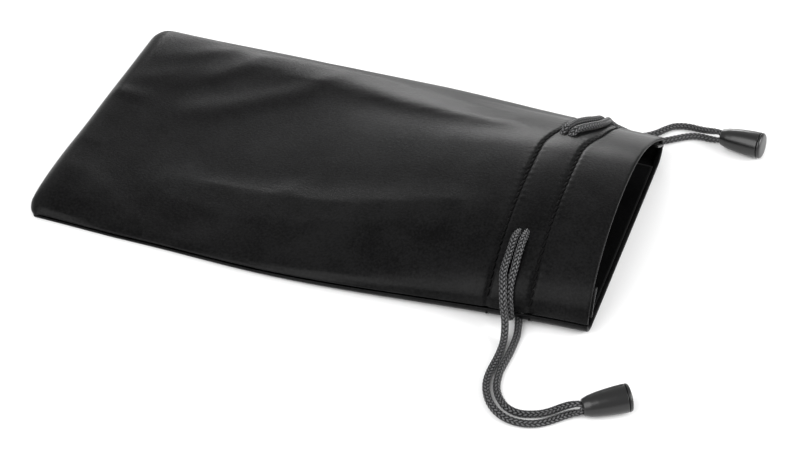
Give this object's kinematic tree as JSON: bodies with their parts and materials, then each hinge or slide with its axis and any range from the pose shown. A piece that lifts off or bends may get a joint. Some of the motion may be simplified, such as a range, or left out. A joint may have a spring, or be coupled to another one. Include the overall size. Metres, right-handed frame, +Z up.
{
  "type": "soft pouch glasses case",
  "caption": "Soft cloth drawstring pouch for glasses, lying on its flat side, mouth propped open, with braided drawcords ending in plastic cord ends.",
  "frame": {"origin": "middle of the base, where the pouch lies on a surface", "axes": "+X out of the mouth, along the pouch; +Y across it, to the far side; +Z up"},
  "size_m": [0.1938, 0.136, 0.0224],
  "materials": {
    "cloth": "fine napped black microfibre cloth",
    "thread": "black polyester sewing thread",
    "cord": "black hollow-braided polyester cord",
    "plastic": "satin black moulded plastic"
  },
  "bodies": {
    "pouch": {"lower_panel": "cloth", "lower_hem": "cloth", "near_seam_allowance": "cloth", "far_seam_allowance": "cloth", "end_seam_allowance": "cloth", "lower_front_stitching": "thread", "lower_back_stitching": "thread", "seam_thread": "thread", "near_drawcord": "cord", "far_drawcord": "cord"},
    "upper_side": {"upper_panel": "cloth", "upper_hem": "cloth", "upper_front_stitching": "thread", "upper_back_stitching": "thread"},
    "near_cord_knot": {"near_knot": "cord"},
    "near_bell": {"near_cord_end": "plastic"},
    "near_cap": {"near_cord_end_cap": "plastic"},
    "far_cord_knot": {"far_knot": "cord"},
    "far_bell": {"far_cord_end": "plastic"},
    "far_cap": {"far_cord_end_cap": "plastic"}
  },
  "joints": [
    {"name": "mouth_open", "type": "hinge", "parent": "pouch", "child": "upper_side", "pos_m": [-0.0824, 0, 0.0021], "axis": [0, -1, 0], "range_deg": [0, 2]},
    {"name": "near_cord_pull", "type": "slide", "parent": "pouch", "child": "near_cord_knot", "axis": [0.8, -0.6, 0], "range_m": [0, 0.025], "deforming": ["near_drawcord"]},
    {"name": "near_bell_slide", "type": "slide", "parent": "near_cord_knot", "child": "near_bell", "axis": [-0.8494, -0.5205, -0.0872], "range_m": [0, 0.005]},
    {"name": "near_cap_pull", "type": "slide", "parent": "near_cord_knot", "child": "near_cap", "axis": [0.8494, 0.5205, 0.0872], "range_m": [0, 0.012]},
    {"name": "far_cord_pull", "type": "slide", "parent": "pouch", "child": "far_cord_knot", "axis": [0.947, 0.3212, 0], "range_m": [0, 0.025], "deforming": ["far_drawcord"]},
    {"name": "far_bell_slide", "type": "slide", "parent": "far_cord_knot", "child": "far_bell", "axis": [-0.9872, 0.1335, -0.0872], "range_m": [0, 0.005]},
    {"name": "far_cap_pull", "type": "slide", "parent": "far_cord_knot", "child": "far_cap", "axis": [0.9872, -0.1335, 0.0872], "range_m": [0, 0.012]}
  ]
}
